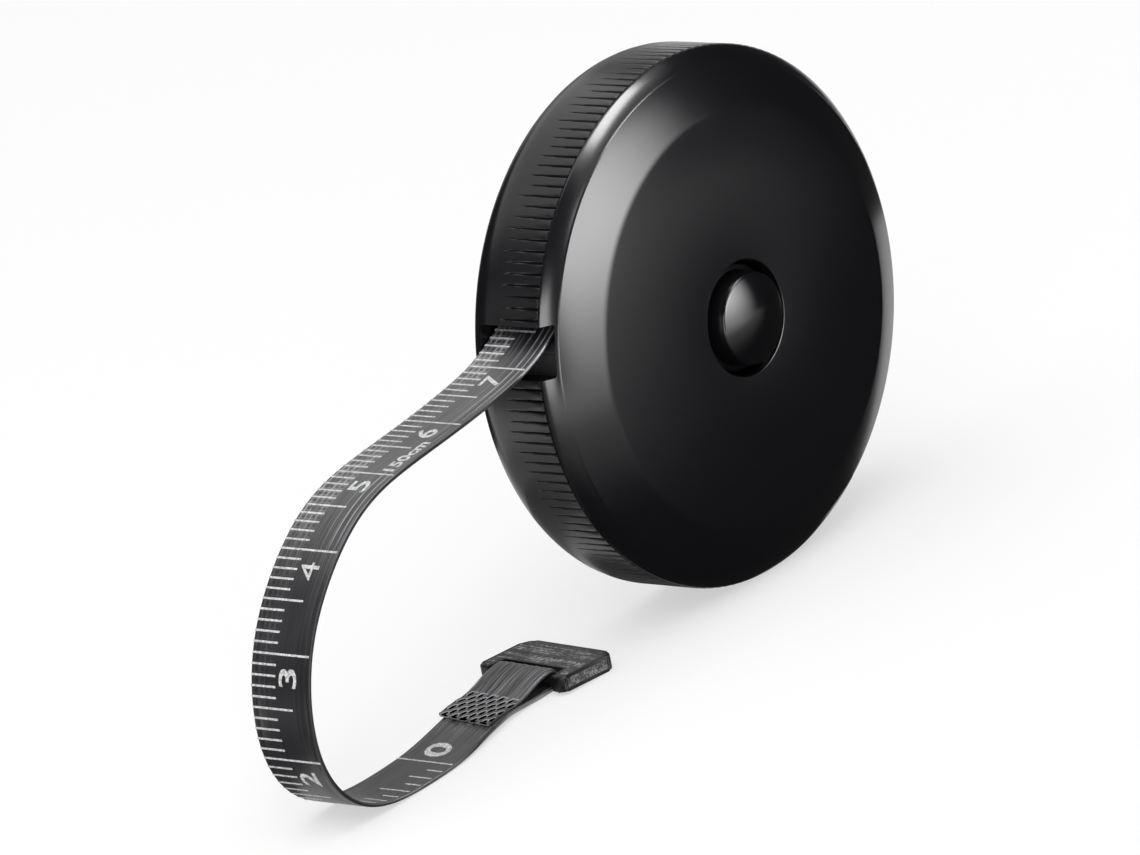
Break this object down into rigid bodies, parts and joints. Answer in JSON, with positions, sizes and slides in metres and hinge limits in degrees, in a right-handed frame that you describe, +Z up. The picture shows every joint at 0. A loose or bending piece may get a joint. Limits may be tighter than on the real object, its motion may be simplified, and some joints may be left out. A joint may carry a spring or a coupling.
{
  "type": "pocket tape measure",
  "caption": "Round pocket tape measure with a spring reel, a push button that frees the brake, and a soft tape with an end tab, pulled out a little.",
  "frame": {"origin": "on the floor under the case, at the middle of its thickness; the case stands on its rim and the reel's axis runs along Y at z = 26 mm", "axes": "+Z up, -Y out of the front cover with the button, -X the way the tape is pulled out"},
  "size_m": [0.0911, 0.0173, 0.052],
  "materials": {
    "case_plastic": "black, glossy, ribbed round the edge",
    "cover_plastic": "black, glossy slope and a satin flat face",
    "guide_plastic": "black, smooth",
    "button_plastic": "black, high gloss",
    "tab_plastic": "black, satin, grained",
    "reel_plastic": "natural white moulding",
    "washer_plastic": "slippery natural plastic",
    "steel": "turned and stamped steel",
    "spring_steel": "blued spring steel",
    "tape_cloth": "black coated glass-fibre cloth with pale printed scale",
    "brake_rubber": "matt black"
  },
  "bodies": {
    "case": {"rear_shell": "case_plastic", "front_cover": "cover_plastic", "mouth_guide": "guide_plastic", "spindle": "steel", "thrust_washer": "washer_plastic", "spring_seat": "steel", "retaining_clip": "steel", "tape_run": "tape_cloth"},
    "reel": {"reel_drum": "reel_plastic", "front_flange": "reel_plastic", "spring_cover": "steel", "mainspring": "spring_steel", "tape_pin": "steel", "tape_coil": "tape_cloth"},
    "button": {"push_button": "button_plastic", "brake_ring": "brake_rubber", "button_spring": "spring_steel"},
    "tape_end": {"tape_blade": "tape_cloth", "tape_loop": "tape_cloth"},
    "tab": {"end_tab": "tab_plastic"}
  },
  "joints": [
    {"name": "tape_pull", "type": "slide", "parent": "case", "child": "tape_end", "axis": [-1, 0, 0], "range_m": [0, 1.4]},
    {"name": "reel_spin", "type": "hinge", "parent": "case", "child": "reel", "pos_m": [0, 0, 0.026], "axis": [0, -1, 0], "range_deg": [0, 5300], "deforming": ["mainspring"]},
    {"name": "button_press", "type": "slide", "parent": "case", "child": "button", "axis": [0, 1, 0], "range_m": [0, 0.0014], "stiffness_N_per_m": 800, "springref_m": -0.001, "deforming": ["button_spring"]},
    {"name": "tab_swing", "type": "hinge", "parent": "tape_end", "child": "tab", "pos_m": [-0.0301, 0.00405, 0.00105], "axis": [0.0872, 0.9962, 0], "range_deg": [-80, 80]}
  ],
  "couplings": [
    {"joint": "reel_spin", "follows": "tape_pull", "rad_per_m": 65.8}
  ]
}
